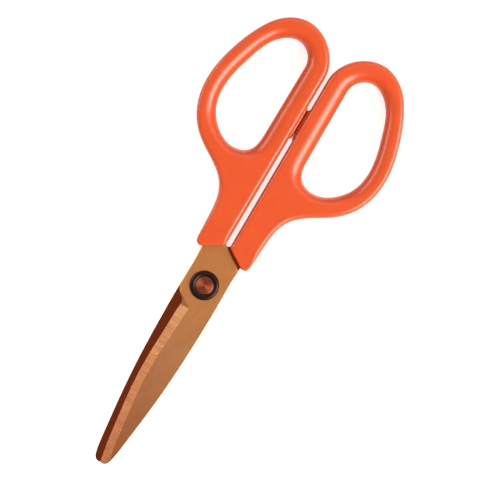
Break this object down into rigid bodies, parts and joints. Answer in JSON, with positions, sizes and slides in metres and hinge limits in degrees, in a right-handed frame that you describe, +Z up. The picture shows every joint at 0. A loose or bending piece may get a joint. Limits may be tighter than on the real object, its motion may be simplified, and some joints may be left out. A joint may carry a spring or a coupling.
{
  "type": "shears",
  "caption": "Right-handed shears with closed finger loops, bevelled bronze-coated steel blades and a riveted pivot in black collars.",
  "frame": {"origin": "middle of the closed pair's length and width, on the surface that it lies on", "axes": "+Z up out of the front blade's face, +Y from the blade tips towards the handles, +X towards the rear half's handle"},
  "size_m": [0.0752, 0.1762, 0.01],
  "materials": {
    "blade_steel": "steel with a satin bronze-coloured coating, ground across the bevels",
    "handle_plastic": "orange moulded ABS, semi-gloss",
    "rivet_metal": "copper-coloured, turned face with fine concentric lines",
    "collar_plastic": "black moulded acetal, satin",
    "washer_plastic": "natural nylon",
    "spring_steel": "plain spring steel"
  },
  "bodies": {
    "rear_half": {"rear_blade": "blade_steel", "rear_handle": "handle_plastic", "rear_collar": "collar_plastic", "pivot_rivet": "rivet_metal", "rivet_burr": "rivet_metal", "disc_spring": "spring_steel", "slip_washer": "washer_plastic"},
    "front_half": {"front_blade": "blade_steel", "front_handle": "handle_plastic", "front_collar": "collar_plastic"}
  },
  "joints": [
    {"name": "blade_pivot", "type": "hinge", "parent": "rear_half", "child": "front_half", "pos_m": [0, -0.01365, 0.005], "axis": [0, 0, 1], "range_deg": [0, 100]}
  ]
}
